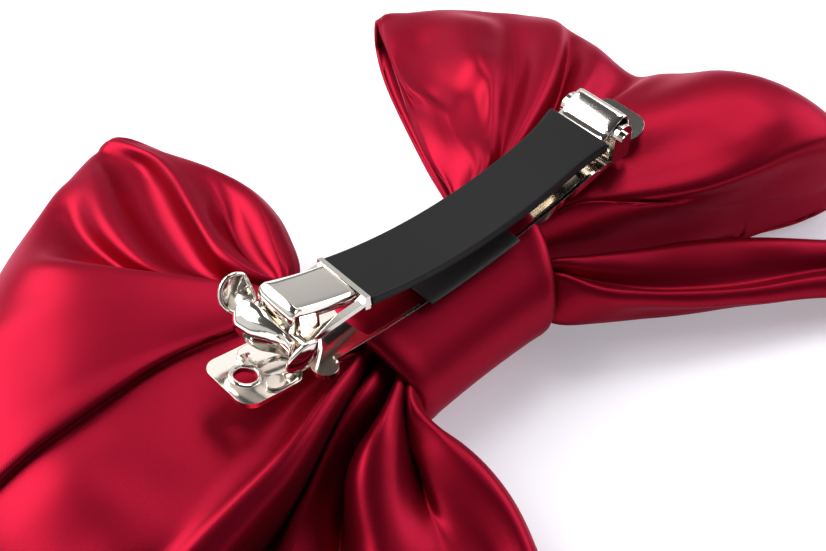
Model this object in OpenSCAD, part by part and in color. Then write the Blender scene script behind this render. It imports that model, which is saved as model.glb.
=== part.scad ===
// Satin hair bow with two loops and two tails on a sprung 80 mm barrette.
// +X runs along the barrette from its clasp to its hinge, +Y runs away from
// the tails, +Z points out of the back of the bow. The origin is the middle of
// the flat front of the knot, which the bow rests on.

/* [Barrette] */
// Overall length of the base plate
clip_len = 80; // [78:1:82]
// Width of the base plate
clip_w = 9.8; // [9.6:0.1:10]
// Thickness of the base plate
plate_t = 0.9; // [0.8:0.05:1]
// Radius to which the base plate is curved
plate_r = 160; // [150:5:170]
// Height of the base plate's upper face at its middle
plate_z = 20; // [19.8:0.1:20.2]
// Radius of the sewing hole in the clasp tab
sew_r = 1.6; // [1.4:0.1:1.8]
// Distance of the sewing hole from the middle of the plate
sew_x = 36.3; // [36:0.1:36.8]

/* [Top arm] */
// Radius of the arm's upper face
arm_r = 80; // [78:1:82]
// Place of the arm's lowest point along the barrette
arm_low_x = 6.7; // [6.5:0.1:7]
// Height of the cover's upper face at the arm's lowest point
arm_low_z = 25.6; // [25.5:0.1:25.8]
// Width of the arm
arm_w = 9.8; // [9.6:0.1:10]
// Thickness of the arm's metal
arm_t = 0.8; // [0.7:0.05:0.85]
// Thickness of the leatherette cover
cover_t = 0.6; // [0.5:0.05:0.65]
// Width of the cover at its hinge end
cover_flare_w = 11.6; // [11:0.1:12]
// Radius of the hinge pin
pin_r = 0.6; // [0.55:0.01:0.65]

/* [Latch] */
// Diameter of each finger ear
ear_d = 5.6; // [5.2:0.1:6.4]
// Lean of the ears away from upright, in degrees
ear_lean = 32; // [28:1:36]
// Thickness of the latch's spring steel
latch_t = 0.45; // [0.4:0.05:0.5]

/* [Knot] */
// Left end of the knot band
knot_x0 = -18.5; // [-18.8:0.1:-18]
// Right end of the knot band
knot_x1 = 14.5; // [14:0.1:15]
// Half the width of the knot across the barrette
knot_half_y = 13; // [12.5:0.1:13.5]
// Thickness of the knot band
band_t = 0.8; // [0.7:0.05:0.9]

/* [Bow] */
// Height of the loops where they are thickest
loop_h = 24; // [22:0.5:24]
// Height of the tails where they are thickest
tail_h = 13; // [12:0.5:14]
// Stations along each loop and tail
stations = 14; // [10:1:20]
// Points across each side of a loop or tail
across = 20; // [12:2:26]

/* [Hidden] */

nickel = [0.80, 0.78, 0.74];
satin = [0.70, 0.02, 0.14];
leatherette = [0.06, 0.06, 0.065];
arc_fn = 720;
round_fn = 64;
gap = 0.02;
glue_t = 0.05;
plate_half = clip_len / 2;
rim_h = 0.45;
rim_w = 0.6;
plate_c = plate_z + plate_r;

pin_x = 32.2;
pin_z = 27.2;
barrel_r = 1.75;
barrel_half = 4.55;
run_clearance = 0.05;
ear_plate_t = 0.8;
ear_plate_y = 4.75;

arm_c = arm_low_z + arm_r;
arm_top_r = arm_r + cover_t;
lip_x = -18.7;
rail_w = 1.1;
rail_z = 28.6;
arm_end_x = -30.4;
tongue_w = 5.8;
bar_drop = 2.3;
bar_t = 0.45;
bar_w = 4.4;
bar_x0 = -25.6;
bar_x1 = 27;

function plate_top(x) = plate_c - sqrt(plate_r * plate_r - x * x);
function arm_line(x, r) = arm_c - sqrt(r * r - (x - arm_low_x) * (x - arm_low_x));

// A bar along Y, for curved faces, bores and pins
module y_bar(r, half, fn = round_fn) {
    rotate([90, 0, 0]) cylinder(r = r, h = 2 * half, center = true, $fn = fn);
}

// A sheet curved about an axis along Y: its upper face has radius r
module bent(cx, cz, r, t) {
    translate([cx, 0, cz]) difference() {
        y_bar(r + t, 30, arc_fn);
        y_bar(r, 31, arc_fn);
    }
}

// A flat rectangle with round corners, from x0 to x1
module round_rect(x0, x1, w, r) {
    translate([x0 + r, -w / 2]) square([x1 - x0 - 2 * r, w]);
    translate([x0, -w / 2 + r]) square([x1 - x0, w - 2 * r]);
    for (x = [x0 + r, x1 - r], y = [r - w / 2, w / 2 - r]) {
        translate([x, y]) circle(r = r, $fn = round_fn);
    }
}

// The plate seen from above: tabs at both ends, lugs beside the latch
module plate_outline() {
    round_rect(-plate_half, -29.6, clip_w, 2.2);
    translate([-30.5, -3.6]) square([4, 7.2]);
    round_rect(-28, 33.4, clip_w, 0.8);
    translate([33, -3.4]) square([2, 6.8]);
    round_rect(34.4, plate_half, clip_w, 2.6);
    for (side = [-1, 1]) translate([-26.7, side * 4.6]) circle(r = 1.9, $fn = round_fn);
}

module base_plate() {
    lean = asin(sew_x / plate_r);
    color(nickel) {
        difference() {
            union() {
                intersection() {
                    bent(0, plate_c, plate_r, plate_t);
                    linear_extrude(40) plate_outline();
                }
                // Raised rims along both edges
                intersection() {
                    bent(0, plate_c, plate_r - rim_h, rim_h + plate_t / 2);
                    for (side = [-1, 1]) {
                        translate([-25, side * (clip_w - rim_w) / 2 - rim_w / 2, 0])
                            cube([53, rim_w, 40]);
                    }
                }
                hinge_ears();
            }
            translate([0, 0, plate_c]) rotate([0, lean, 0])
                translate([0, 0, -plate_r]) cylinder(r = sew_r, h = 4, center = true, $fn = round_fn);
        }
    }
}

// Two upright ears that carry the hinge pin
module hinge_ears() {
    foot = plate_top(pin_x) - plate_t / 2;
    for (side = [-1, 1]) {
        translate([pin_x, side * (ear_plate_y + ear_plate_t / 2), 0]) difference() {
            union() {
                translate([0, 0, pin_z]) y_bar(2, ear_plate_t / 2);
                translate([-2, -ear_plate_t / 2, foot]) cube([4, ear_plate_t, pin_z - foot]);
            }
            translate([0, 0, pin_z]) y_bar(pin_r + gap, ear_plate_t);
        }
    }
}

module hinge_pin() {
    outer = ear_plate_y + ear_plate_t;
    color(nickel) translate([pin_x, 0, pin_z]) {
        y_bar(pin_r, outer + 0.1);
        for (side = [-1, 1]) translate([0, side * (outer + 0.3), 0]) y_bar(1, 0.3);
    }
}

// The arm seen from above, between the cross lip and the barrel
module arm_outline() {
    translate([lip_x, -arm_w / 2]) square([47.4, arm_w]);
    translate([28, -4.4]) square([3.2, 8.8]);
}

// The clasp end: a frame of two rails and an end bar under a raised tongue
module arm_frame() {
    rail_x = arm_end_x + 0.6;
    for (side = [-1, 1]) {
        translate([rail_x, side * (arm_w - rail_w) / 2 - rail_w / 2, rail_z])
            cube([lip_x + 0.1 - rail_x, rail_w, arm_t]);
    }
    translate([arm_end_x + 0.7, 0, rail_z + arm_t / 2]) y_bar(0.7, arm_w / 2);
    intersection() {
        bent(arm_low_x, arm_c, arm_top_r, arm_t);
        translate([-29, -tongue_w / 2, 20]) cube([10.6, tongue_w, 20]);
    }
    fall_x = -29;
    fall_top = arm_line(fall_x, arm_top_r);
    translate([fall_x - 0.55, -tongue_w / 2, rail_z + 0.4])
        cube([0.75, tongue_w, fall_top - rail_z - 0.65]);
    translate([fall_x + 0.12, 0, fall_top - 0.33]) y_bar(0.67, tongue_w / 2);
}

module top_arm() {
    color(nickel) difference() {
        union() {
            intersection() {
                bent(arm_low_x, arm_c, arm_top_r, arm_t);
                linear_extrude(45) arm_outline();
            }
            // Cross lip that the cover butts against
            intersection() {
                bent(arm_low_x, arm_c, arm_r - 0.3, arm_t + cover_t + 0.9);
                translate([lip_x - 0.7, -arm_w / 2, 20]) cube([0.9, arm_w, 20]);
            }
            arm_frame();
            translate([pin_x, 0, pin_z]) y_bar(barrel_r, barrel_half);
        }
        translate([pin_x, 0, pin_z]) y_bar(pin_r + run_clearance, barrel_half + 1);
    }
}

module arm_cover() {
    flare_x = 21;
    end_x = 28.2;
    half = arm_w / 2;
    spread = (cover_flare_w - arm_w) / 2;
    side = [for (i = [0:8]) [flare_x + (end_x - flare_x) * i / 8, half + spread * pow(i / 8, 2)]];
    color(leatherette) intersection() {
        bent(arm_low_x, arm_c, arm_r, cover_t - glue_t);
        linear_extrude(45) polygon(concat(
            [[lip_x + 0.25, -half], [lip_x + 0.25, half]],
            side,
            [for (i = [8:-1:0]) [side[i].x, -side[i].y]]));
    }
}

// Thin bowed strip under the arm, turned down to the plate at both ends
module tension_bar() {
    r = arm_r + bar_drop;
    left_top = arm_line(bar_x0, r) - 0.1;
    right_top = arm_line(bar_x1, r) - 0.1;
    color(nickel) {
        intersection() {
            bent(arm_low_x, arm_c, r, bar_t);
            linear_extrude(45) {
                translate([bar_x0, -bar_w / 2]) square([bar_x1 - bar_x0, bar_w]);
            }
        }
        left_foot = plate_top(bar_x0) + gap;
        translate([bar_x0, -bar_w / 2, left_foot]) cube([bar_t, bar_w, left_top - left_foot]);
        right_foot = plate_top(bar_x1) + gap;
        translate([bar_x1 - bar_t, -bar_w / 2, right_foot])
            cube([bar_t, bar_w, right_top - right_foot]);
    }
}

saddle_x0 = -34;
saddle_x1 = -30.9;
saddle_r = (saddle_x1 - saddle_x0) / 2;
saddle_z = 29.3;

// Foot on the clasp tab with an upstand under each ear, and an arched saddle
module latch_base() {
    saddle_cx = (saddle_x0 + saddle_x1) / 2;
    foot_top = plate_top(saddle_x0);
    color(nickel) {
        intersection() {
            bent(0, plate_c, plate_r - latch_t - gap, latch_t);
            linear_extrude(40) {
                translate([saddle_x0, -3.3]) square([7, 6.6]);
                translate([leg_x0, -ear_pivot_y - 0.25]) square([leg_len, 2 * ear_pivot_y + 0.5]);
                translate([-33.9, 2.6]) circle(r = 1.4, $fn = round_fn);
            }
        }
        intersection() {
            translate([0, 0, plate_c]) y_bar(plate_r - 2 * gap - latch_t / 2, 30, arc_fn);
            for (side = [-1, 1]) {
                translate([leg_x0 + 0.1, side * ear_pivot_y - latch_t / 2, plate_z])
                    cube([leg_len - 0.2, latch_t, ear_pivot_z - ear_root_r - 0.1 - plate_z]);
            }
        }
        translate([saddle_x0, -3.4, foot_top + 0.1])
            cube([latch_t, 6.8, saddle_z - foot_top]);
        // Rolled arch across the clasp
        translate([saddle_cx, 0, saddle_z]) difference() {
            y_bar(saddle_r, 4.9);
            y_bar(saddle_r - latch_t, 5);
            translate([-3, -6, -6]) cube([6, 12, 6]);
        }
        for (side = [-1, 1]) {
            translate([saddle_x0 + latch_t / 2, side * 3.4, saddle_z - 1.5])
                rotate([0, 90, 0]) cylinder(r = 1.5, h = latch_t, center = true, $fn = round_fn);
        }
        translate([saddle_x1 - latch_t, -2.2, saddle_z - 0.9]) cube([latch_t, 4.4, 1]);
    }
}

ear_y = 7.5;
ear_z = 30.2;
ear_x = -31;
ear_pivot_y = 4.3;
ear_pivot_z = 25.6;
dish_r = 9;
ear_root_r = 0.35;
leg_x0 = -34.2;
leg_len = 3.2;

// One sprung ear: a dished finger disc on a slanted leg
module latch_ear(side) {
    low_y = ear_y - ear_d / 2 * sin(ear_lean);
    low_z = ear_z - ear_d / 2 * cos(ear_lean);
    mirror([0, side < 0 ? 1 : 0, 0]) {
        intersection() {
            translate([ear_x, ear_y, ear_z]) rotate([90 - ear_lean, 0, 0]) {
                translate([0, 0, dish_r]) difference() {
                    sphere(r = dish_r + latch_t, $fn = 128);
                    sphere(r = dish_r, $fn = 128);
                }
            }
            translate([ear_x, ear_y, ear_z]) rotate([90 - ear_lean, 0, 0])
                cylinder(r = ear_d / 2, h = 6, center = true, $fn = round_fn);
        }
        // Slanted leg with a rolled root on the axis that it flexes about
        translate([leg_x0, ear_pivot_y, ear_pivot_z]) rotate([0, 90, 0])
            cylinder(r = ear_root_r, h = leg_len, $fn = round_fn);
        translate([leg_x0, 0, 0]) rotate([90, 0, 90]) linear_extrude(leg_len)
            polygon([[ear_pivot_y - 0.25, ear_pivot_z], [ear_pivot_y + 0.25, ear_pivot_z],
                     [low_y + 0.35, low_z + 0.2], [low_y + 0.35, low_z + 0.75],
                     [low_y - 0.05, low_z + 0.6]]);
    }
}

module far_latch_ear() { color(nickel) latch_ear(1); }
module near_latch_ear() { color(nickel) latch_ear(-1); }

// Cross-section of the knot across the barrette, flat at the front
module knot_section(inset) {
    r = 8.6 - inset;
    y = knot_half_y - inset;
    translate([-y + r, inset]) square([2 * (y - r), 24 - inset]);
    translate([-y, inset + r]) square([2 * y, 24 - inset - r]);
    for (side = [-1, 1]) {
        translate([side * (y - r), inset + r]) circle(r = r, $fn = round_fn);
    }
}

// The knot as a solid: rounded below, curved like the plate on top, with
// round upper shoulders
module knot_solid(inset, x0, x1, rise) {
    intersection() {
        translate([x0, 0, 0]) rotate([90, 0, 90]) linear_extrude(x1 - x0) knot_section(inset);
        translate([0, 0, plate_c]) below_plate_curve(rise - inset);
        translate([x0, 0, 0]) rotate([90, 0, 90]) linear_extrude(x1 - x0) shoulder(inset);
    }
}

// Everything below the curve of the plate's upper face, raised by rise
module below_plate_curve(rise) {
    difference() {
        translate([-40, -30, -plate_r - 30]) cube([80, 60, 60]);
        y_bar(plate_r - rise, 31, arc_fn);
    }
}

// Large circle across the knot that rounds its upper shoulders
module shoulder(inset) {
    translate([0, 6.6]) circle(r = 16.4 - inset, $fn = 180);
}

band_rise = 1.45;

module knot_band() {
    color(satin) difference() {
        knot_solid(0, knot_x0, knot_x1, band_rise);
        knot_solid(band_t, knot_x0 - 1, knot_x1 + 1, band_rise);
    }
}

// Pleated middle of the bow inside the band, with a waist for the thread
module gather_core() {
    color(satin) difference() {
        knot_solid(band_t + 0.1, knot_x0 + 0.2, knot_x1 - 0.2, band_rise);
        translate([0, 0, plate_c]) y_bar(plate_r + plate_t + 0.05, 31, arc_fn);
        translate([-6, 0, 0]) rotate([90, 0, 90]) linear_extrude(8) difference() {
            translate([-20, 0]) square([40, 30]);
            translate([0, 10.2]) circle(r = 7.2, $fn = round_fn);
        }
    }
}

// Binding wound round the waist of the gather
module binding_thread() {
    color([0.85, 0.82, 0.78]) translate([-5.4, 0, 10.2]) rotate([0, 90, 0]) {
        for (i = [0:5]) translate([0, 0, i * 1.15]) rotate_extrude($fn = 96)
            translate([7.85, 0]) circle(r = 0.55, $fn = 16);
    }
}

// Woven tag that lies over the band's near shoulder, under the arm
module label_tag() {
    lift = band_rise + 0.02;
    color(leatherette) intersection() {
        bent(0, plate_c, plate_r - lift - 0.3, 0.3);
        translate([-8.6, -6.4, 0]) cube([17.8, 7.2, 40]);
    }
}

// Closed soft solid that runs from a root line through a middle line to an
// outer edge, all listed clockwise as seen from above the root. Each station
// holds a ring of points: over the top, then back underneath. top and low give
// the heights at even steps from root to edge.
function list_at(list, t) =
    let (s = t * (len(list) - 1), i = min(floor(s), len(list) - 2))
    list[i] + (list[i + 1] - list[i]) * (s - i);
function bulge(u) = pow(max(0, 1 - pow(abs(2 * u - 1), 3)), 0.6);
function fan_plan(lines, t, u) =
    list_at(lines[0], u) * (1 - t) * (1 - 2 * t) + list_at(lines[1], u) * 4 * t * (1 - t)
    + list_at(lines[2], u) * t * (2 * t - 1);
function fan_point(lines, top, low, t, u, up) =
    let (plan = fan_plan(lines, t, u))
    let (high = list_at(top, t), bottom = list_at(low, t), mid = (high + bottom) / 2)
    [plan.x, plan.y, mid + (up ? 1 : -1) * (high - bottom) / 2 * bulge(u)];
function fan_ring(lines, top, low, t) = concat(
    [for (i = [0:across]) fan_point(lines, top, low, t, i / across, true)],
    [for (i = [across - 1:-1:1]) fan_point(lines, top, low, t, i / across, false)]);
module fan_solid(lines, top, low) {
    ring = 2 * across;
    points = [for (j = [0:stations]) each fan_ring(lines, top, low, j / stations)];
    sides = [for (j = [0:stations - 1], i = [0:ring - 1])
        let (a = j * ring + i, b = j * ring + (i + 1) % ring)
        each [[a, b, b + ring], [a, b + ring, a + ring]]];
    last = stations * ring;
    tip = concat(
        [for (i = [1:across - 1]) [i, ring - i, (ring - i + 1) % ring]],
        [for (i = [2:across - 1]) [i, ring - i + 1, i - 1]],
        [[across, across + 1, across - 1]]);
    root_cap = [for (f = tip) [f[0], f[2], f[1]]];
    polyhedron(points, concat(sides, root_cap, [for (f = tip) [for (k = f) k + last]]));
}

loop_top = [19, 20.5, 21.5, 22.3, loop_h - 0.5, loop_h - 1.5, 18, 11];
loop_low = [3, 1.5, 0.5, 0, 0, 0.5, 2, 6];

module left_loop() {
    color(satin) fan_solid(
        [[[-14.5, 13.5], [-18.9, 13.5], [-18.9, 4], [-18.9, -4.5]],
         [[-10, 36], [-22, 38], [-33, 31], [-41, 21], [-46, 10], [-48, -1], [-46, -14]],
         [[-14, 58], [-30, 56], [-47, 45], [-62, 32], [-73, 15], [-78, -3], [-74, -19]]],
        loop_top, loop_low);
}

module right_loop() {
    color(satin) fan_solid(
        [[[15, -6], [15, 4], [15, 13.5], [12, 13.5]],
         [[41, -15], [44, -4], [42, 8], [39, 18], [36, 26], [31, 32], [25, 37]],
         [[68, -22], [74, -6], [71, 9], [66, 24], [59, 39], [50, 50], [39, 58]]],
        loop_top, loop_low);
}

module left_tail() {
    color(satin) fan_solid(
        [[[-19, -5], [-18.9, -9], [-18.7, -13]],
         [[-50, -18.5], [-38, -28], [-21, -40]],
         [[-82, -42], [-68, -59], [-51, -73]]],
        [15, tail_h, 11, 9, 7.5, 6.5, 5.5, 4],
        [3, 1, 0.2, 0, 0, 0, 0, 0.5]);
}

module right_tail() {
    color(satin) fan_solid(
        [[[14.7, -13], [14.9, -10], [15, -6.6]],
         [[41, -33], [45, -28], [48, -24]],
         [[69, -59], [77, -50], [83, -40]]],
        [15, tail_h, 12, 10, 8.5, 7.5, 6.5, 4.5],
        [3, 1, 0.2, 0, 0, 0, 0, 0.5]);
}

base_plate();
hinge_pin();
top_arm();
arm_cover();
tension_bar();
latch_base();
far_latch_ear();
near_latch_ear();
gather_core();
binding_thread();
knot_band();
label_tag();
left_loop();
right_loop();
left_tail();
right_tail();
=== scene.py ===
"""Satin hair bow on a sprung barrette, lying face down with its clip on top.

Frame: +X from the clasp to the hinge, +Y away from the tails, +Z up. The origin is the middle of
the flat front of the knot. Lengths in the tables below are millimetres; MM turns them into metres.
"""

import math

import bmesh
import bpy
import numpy as np
from mathutils import Matrix, Vector, noise


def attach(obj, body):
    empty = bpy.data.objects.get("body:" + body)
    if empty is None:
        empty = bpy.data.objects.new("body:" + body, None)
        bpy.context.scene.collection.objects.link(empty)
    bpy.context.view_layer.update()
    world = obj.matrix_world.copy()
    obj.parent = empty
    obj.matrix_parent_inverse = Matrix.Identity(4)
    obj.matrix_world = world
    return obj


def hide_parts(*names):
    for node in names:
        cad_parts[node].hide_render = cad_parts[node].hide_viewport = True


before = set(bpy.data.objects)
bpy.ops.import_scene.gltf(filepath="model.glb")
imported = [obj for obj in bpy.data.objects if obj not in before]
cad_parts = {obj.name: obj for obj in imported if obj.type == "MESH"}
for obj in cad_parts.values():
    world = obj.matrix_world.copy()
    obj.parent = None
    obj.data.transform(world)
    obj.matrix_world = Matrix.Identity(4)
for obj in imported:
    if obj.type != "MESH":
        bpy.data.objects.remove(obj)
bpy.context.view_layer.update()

MM = 0.001
CLOTH = 0.45  # thickness of the satin
FLOOR_GAP = 0.25  # least height of any cloth above the floor
SHARP_ANGLE = math.radians(38)  # metal edges sharper than this are rounded and shaded as edges

# Camera: sensor and lens in millimetres, places in metres, roll in degrees
SENSOR_W, LENS = 36, 56.8
CAMERA_PLACE, CAMERA_TARGET = (-0.0919, -0.09265, 0.15864), (-0.01128, -0.00542, 0.029)
CAMERA_ROLL = -0.67
FLOOR_HALF = 1.5  # metres


# ---------------------------------------------------------------- camera, floor and lights


def look_at(obj, place, target, roll=0.0):
    """Puts obj at place, looking at target, turned by roll degrees about its own view axis."""
    back = (Vector(place) - Vector(target)).normalized()
    right = Vector((0, 0, 1)).cross(back).normalized()
    up = back.cross(right)
    c, s = math.cos(math.radians(roll)), math.sin(math.radians(roll))
    tilted_right = right * c + up * s
    tilted_up = up * c - right * s
    axes = Matrix((tilted_right, tilted_up, back)).transposed()
    obj.matrix_world = Matrix.Translation(place) @ axes.to_4x4()


def add_camera():
    data = bpy.data.cameras.new("camera")
    data.sensor_width = SENSOR_W
    data.lens = LENS
    data.clip_start = 0.01
    camera = bpy.data.objects.new("camera", data)
    bpy.context.scene.collection.objects.link(camera)
    look_at(camera, CAMERA_PLACE, CAMERA_TARGET, CAMERA_ROLL)
    bpy.context.scene.camera = camera


def add_node(tree, kind, **settings):
    """A new shader node with its own settings, such as operation or blend_type."""
    node = tree.nodes.new(kind)
    for key, value in settings.items():
        setattr(node, key, value)
    return node


def add_ramp(tree, source, stops):
    """Colour ramp driven by source, from (position, colour) stops in rising order."""
    ramp = add_node(tree, "ShaderNodeValToRGB")
    elements = ramp.color_ramp.elements
    elements[0].position, elements[1].position = stops[0][0], stops[-1][0]
    for at, _ in stops[1:-1]:
        elements.new(at)
    for element, (_, colour) in zip(elements, stops):
        element.color = (*colour, 1)
    tree.links.new(source, ramp.inputs[0])
    return ramp.outputs[0]


def add_floor():
    """Large pale floor with painted light and shade: it glows faintly, which lifts its shadows, and
    painted shade darkens it towards +X and -Y.
    """
    mesh = bpy.data.meshes.new("floor")
    h = FLOOR_HALF
    mesh.from_pydata([(-h, -h, 0), (h, -h, 0), (h, h, 0), (-h, h, 0)], [], [(0, 1, 2, 3)])
    floor = bpy.data.objects.new("floor", mesh)
    bpy.context.scene.collection.objects.link(floor)
    mat = bpy.data.materials.new("floor_white")
    mat.use_nodes = True
    tree = mat.node_tree
    shader = tree.nodes["Principled BSDF"]
    shader.inputs["Roughness"].default_value = 0.6
    # painted shade: a colour ramp darkens the floor towards +X and -Y
    where = add_node(tree, "ShaderNodeTexCoord")
    across = add_node(tree, "ShaderNodeVectorMath", operation="DOT_PRODUCT")
    across.inputs[1].default_value = (3.0, -4.0, 0)
    tree.links.new(where.outputs["Object"], across.inputs[0])
    shade = add_ramp(tree, across.outputs["Value"],
                     [(0.0, (0.88, 0.87, 0.89)), (0.75, (0.58, 0.57, 0.61))])
    tree.links.new(shade, shader.inputs["Base Color"])
    # painted light: the floor glows faintly, which lightens the shadows cast on it
    shader.inputs["Emission Color"].default_value = (0.95, 0.92, 1.0, 1)
    shader.inputs["Emission Strength"].default_value = 0.34
    floor.data.materials.append(mat)


def add_area_light(name, place, target, size, power, colour=(1, 1, 1)):
    data = bpy.data.lights.new(name, "AREA")
    data.shape = "RECTANGLE"
    data.size, data.size_y = size
    data.energy = power
    data.color = colour
    light = bpy.data.objects.new(name, data)
    bpy.context.scene.collection.objects.link(light)
    look_at(light, place, target)


def add_lights():
    """A large window light behind the bow, a cool side light and two small lights for the metal."""
    add_area_light("window", (-0.42, 0.85, 0.85), (0, 0, 0.01), (1.2, 0.95), 20.0,
                   (1.0, 0.985, 0.975))
    add_area_light("side", (0.95, -0.30, 0.50), (0, 0, 0.01), (1.0, 0.7), 8.0, (0.93, 0.91, 1.0))
    add_area_light("panel", (0.72, 0.54, 0.80), (0, 0, 0.02), (0.55, 0.45), 0.45, (1.0, 0.99, 0.98))
    add_area_light("overhead", (0.55, 0.28, 0.95), (0.03, 0, 0.02), (0.4, 0.4), 3.0)


def add_world():
    """Room light: brighter on the window's side, and dark near the horizon and overhead."""
    world = bpy.data.worlds.new("room")
    world.use_nodes = True
    tree = world.node_tree
    background = tree.nodes["Background"]
    background.inputs["Strength"].default_value = 1.0
    where = add_node(tree, "ShaderNodeTexCoord")
    towards = add_node(tree, "ShaderNodeVectorMath", operation="DOT_PRODUCT")
    towards.inputs[1].default_value = (-0.35, 0.90, 0.22)
    turn = add_node(tree, "ShaderNodeMath", operation="MULTIPLY_ADD")
    turn.inputs[1].default_value = 0.5
    turn.inputs[2].default_value = 0.5
    tree.links.new(where.outputs["Generated"], towards.inputs[0])
    tree.links.new(towards.outputs["Value"], turn.inputs[0])
    by_side = add_ramp(tree, turn.outputs[0],
                       [(0.30, (0.15, 0.145, 0.16)), (0.80, (0.85, 0.85, 0.85))])
    split = add_node(tree, "ShaderNodeSeparateXYZ")
    tree.links.new(where.outputs["Generated"], split.inputs[0])
    by_height = add_ramp(tree, split.outputs["Z"],
                         [(0.0, (0.05, 0.05, 0.055)), (0.03, (0.15, 0.15, 0.15)),
                          (0.13, (1.0, 1.0, 1.0)), (0.62, (0.9, 0.9, 0.9)),
                          (0.78, (0.12, 0.12, 0.12)), (1.0, (0.10, 0.10, 0.11))])
    both = add_node(tree, "ShaderNodeMix", data_type="RGBA", blend_type="MULTIPLY")
    both.inputs["Factor"].default_value = 1
    tree.links.new(by_side, both.inputs["A"])
    tree.links.new(by_height, both.inputs["B"])
    tree.links.new(both.outputs["Result"], background.inputs["Color"])
    bpy.context.scene.world = world
    bpy.context.scene.view_settings.view_transform = "Standard"


# ---------------------------------------------------------------- materials


def new_material(name, colour, roughness, metallic=0.0):
    """A material with a plain surface: returns it, its node tree and its shader."""
    mat = bpy.data.materials.new(name)
    mat.use_nodes = True
    shader = mat.node_tree.nodes["Principled BSDF"]
    shader.inputs["Base Color"].default_value = (*colour, 1)
    shader.inputs["Roughness"].default_value = roughness
    shader.inputs["Metallic"].default_value = metallic
    return mat, mat.node_tree, shader


def add_bump(tree, height, strength, distance):
    """Bumps the surface of a material by a height output."""
    bump = add_node(tree, "ShaderNodeBump")
    bump.inputs["Strength"].default_value = strength
    bump.inputs["Distance"].default_value = distance
    tree.links.new(height, bump.inputs["Height"])
    tree.links.new(bump.outputs[0], tree.nodes["Principled BSDF"].inputs["Normal"])


def add_texture(tree, kind, inputs, **settings):
    """A texture node over the object's own coordinates."""
    texture = add_node(tree, kind, **settings)
    for key, value in inputs.items():
        texture.inputs[key].default_value = value
    where = add_node(tree, "ShaderNodeTexCoord")
    tree.links.new(where.outputs["Object"], texture.inputs["Vector"])
    return texture


def yarn_lines(tree, uv, turn, scale, depth):
    """Height of one set of weave lines over the cloth, turned by turn degrees."""
    place = add_node(tree, "ShaderNodeMapping")
    place.inputs["Rotation"].default_value = (0, 0, math.radians(turn))
    wave = add_node(tree, "ShaderNodeTexWave", wave_type="BANDS", bands_direction="X")
    wave.inputs["Scale"].default_value = scale
    wave.inputs["Distortion"].default_value = 0.5
    wave.inputs["Detail"].default_value = 1
    level = add_node(tree, "ShaderNodeMath", operation="MULTIPLY")
    level.inputs[1].default_value = depth
    tree.links.new(uv.outputs[0], place.inputs[0])
    tree.links.new(place.outputs[0], wave.inputs["Vector"])
    tree.links.new(wave.outputs["Fac"], level.inputs[0])
    return level.outputs[0]


def satin_material():
    """Crimson satin: two crossing sets of fine weave lines, tinted highlights, little sheen."""
    mat, tree, shader = new_material("crimson_satin", (0.255, 0.003, 0.0165), 0.40, 0.82)
    shader.inputs["Specular IOR Level"].default_value = 0.32
    shader.inputs["Specular Tint"].default_value = (1.0, 0.45, 0.55, 1)
    shader.inputs["Sheen Weight"].default_value = 0.02
    shader.inputs["Sheen Roughness"].default_value = 0.4
    shader.inputs["Sheen Tint"].default_value = (1.0, 0.3, 0.4, 1)
    uv = add_node(tree, "ShaderNodeUVMap", uv_map="weave")
    total = add_node(tree, "ShaderNodeMath", operation="ADD")
    tree.links.new(yarn_lines(tree, uv, 35, 1150, 0.7), total.inputs[0])
    tree.links.new(yarn_lines(tree, uv, -40, 1250, 0.35), total.inputs[1])
    add_bump(tree, total.outputs[0], 0.15, 0.00005)
    return mat


def nickel_material():
    """Polished nickel plate, faintly uneven like stamped and tumbled sheet."""
    mat, tree, _ = new_material("nickel", (0.81, 0.765, 0.70), 0.09, 1.0)
    cloud = add_texture(tree, "ShaderNodeTexNoise", {"Scale": 420, "Detail": 2})
    add_bump(tree, cloud.outputs["Fac"], 0.04, 0.0001)
    return mat


def leatherette_material():
    """Matt black coated cloth with a fine pebbled grain."""
    mat, tree, shader = new_material("black_leatherette", (0.004, 0.004, 0.0045), 0.5)
    shader.inputs["Specular IOR Level"].default_value = 0.2
    grain = add_texture(tree, "ShaderNodeTexVoronoi", {"Scale": 2600})
    add_bump(tree, grain.outputs["Distance"], 0.12, 0.00006)
    return mat


def label_material():
    """Black woven ribbon, left blank, with its weft lines showing."""
    mat, tree, _ = new_material("black_label", (0.012, 0.012, 0.013), 0.42)
    weft = add_texture(tree, "ShaderNodeTexWave", {"Scale": 1300, "Distortion": 0.6},
                       wave_type="BANDS", bands_direction="Y")
    add_bump(tree, weft.outputs["Fac"], 0.4, 0.00006)
    return mat


def thread_material():
    """Plain pale thread."""
    mat, _, _ = new_material("pale_thread", (0.7, 0.66, 0.6), 0.7)
    return mat


# ---------------------------------------------------------------- lofted cloth


def spline_point(a, b, c, d, t):
    """Point at t between b and c on a chord-weighted Catmull-Rom curve through a, b, c, d.
    Each may be one point or an array of points."""
    def gap(p, q):
        return np.maximum(np.linalg.norm(q - p, axis=-1, keepdims=True), 1e-6) ** 0.5
    ab, bc, cd = gap(a, b), gap(b, c), gap(c, d)
    m1 = (b - a) / ab - (c - a) / (ab + bc) + (c - b) / bc
    m2 = (c - b) / bc - (d - b) / (bc + cd) + (d - c) / cd
    m1, m2 = m1 * bc, m2 * bc
    t2, t3 = t * t, t * t * t
    return ((2 * t3 - 3 * t2 + 1) * b + (t3 - 2 * t2 + t) * m1
            + (3 * t2 - 2 * t3) * c + (t3 - t2) * m2)


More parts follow.
